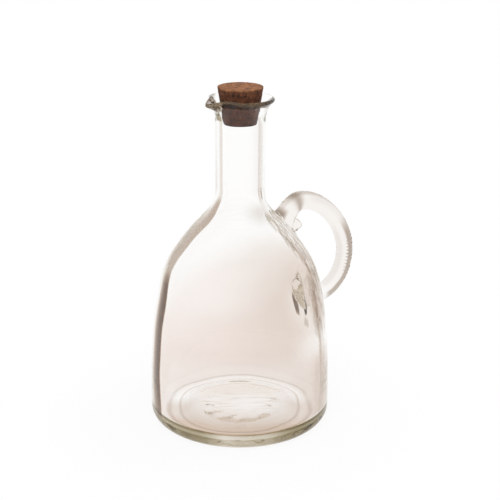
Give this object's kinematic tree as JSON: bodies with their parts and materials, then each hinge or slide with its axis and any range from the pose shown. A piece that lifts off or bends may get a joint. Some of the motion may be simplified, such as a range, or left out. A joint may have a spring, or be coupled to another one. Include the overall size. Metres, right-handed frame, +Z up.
{
  "type": "glass oil bottle",
  "caption": "Hand-blown clear glass oil bottle with a pulled pouring lip, an applied glass loop handle and a tapered cork.",
  "frame": {"origin": "centre of the base, in the plane of the foot ring that the bottle stands on", "axes": "+Z up along the neck, +X towards the handle, the spout points towards -X"},
  "size_m": [0.1429, 0.11, 0.2064],
  "materials": {
    "clear_glass": "clear hand-blown glass, faintly warm grey, olive in the thick base",
    "handle_glass": "clear solid glass rod with fine ripples",
    "cork": "agglomerated cork, matt"
  },
  "bodies": {
    "bottle": {"vessel": "clear_glass", "handle": "handle_glass"},
    "stopper": {"cork": "cork"}
  },
  "joints": [
    {"name": "cork_lift", "type": "slide", "parent": "bottle", "child": "stopper", "axis": [0, 0, 1], "range_m": [0, 0.06]}
  ]
}
